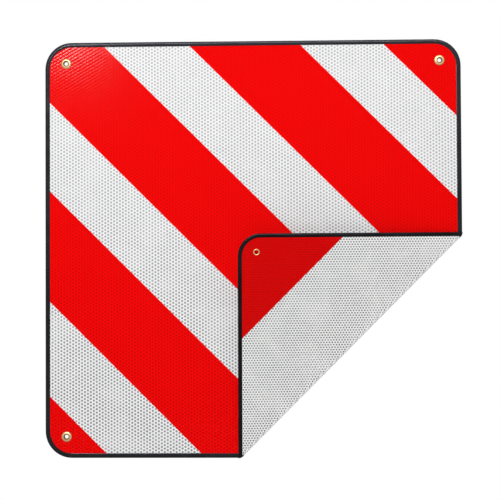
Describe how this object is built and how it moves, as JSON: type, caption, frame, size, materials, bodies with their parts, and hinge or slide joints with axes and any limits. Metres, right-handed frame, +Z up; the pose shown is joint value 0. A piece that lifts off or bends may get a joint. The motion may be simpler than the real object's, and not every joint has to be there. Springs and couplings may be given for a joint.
{
  "type": "overhanging load sign",
  "caption": "Square flexible warning panel with red and white diagonal reflective stripes, black edging and brass eyelets, shown with a corner folded over.",
  "frame": {"origin": "midway between the two top eyelets, on the middle plane of the panel's sheet", "axes": "+X to the right as seen from the front, +Z up, front towards -Y"},
  "size_m": [0.5015, 0.0313, 0.5015],
  "materials": {
    "core_sheet": "plain flexible PVC sheet",
    "white_film": "white retroreflective film with a grid of weld dots",
    "red_film": "red retroreflective film with a grid of weld dots",
    "black_edging": "satin black extruded PVC",
    "brass": "pressed brass, polished"
  },
  "bodies": {
    "panel": {"panel_core": "core_sheet", "panel_front_film": "white_film", "panel_back_film": "white_film", "front_stripe_top_right": "red_film", "front_stripe_upper": "red_film", "front_stripe_middle": "red_film", "front_stripe_lower": "red_film", "front_stripe_bottom_left": "red_film", "back_stripe_centre": "red_film", "back_stripe_top_left": "red_film", "panel_edging": "black_edging", "eyelet_top_left": "brass", "eyelet_top_right": "brass", "eyelet_bottom_left": "brass", "crease_core": "core_sheet", "crease_front_film": "white_film", "crease_back_film": "white_film", "crease_stripe_upper": "red_film", "crease_stripe_middle": "red_film", "crease_stripe_lower": "red_film", "crease_edging_right": "black_edging", "crease_edging_bottom": "black_edging"},
    "corner_flap": {"flap_core": "core_sheet", "flap_front_film": "white_film", "flap_back_film": "white_film", "flap_front_stripe_upper": "red_film", "flap_front_stripe_middle": "red_film", "flap_front_stripe_lower": "red_film", "flap_back_stripe": "red_film", "flap_edging": "black_edging", "flap_eyelet": "brass"}
  },
  "joints": [
    {"name": "corner_fold", "type": "hinge", "parent": "panel", "child": "corner_flap", "pos_m": [0.11575, -0.0018, -0.34025], "axis": [0.7071, 0, 0.7071], "range_deg": [-8, 171.5], "deforming": ["crease_core", "crease_front_film", "crease_back_film", "crease_stripe_upper", "crease_stripe_middle", "crease_stripe_lower", "crease_edging_right", "crease_edging_bottom"]}
  ]
}
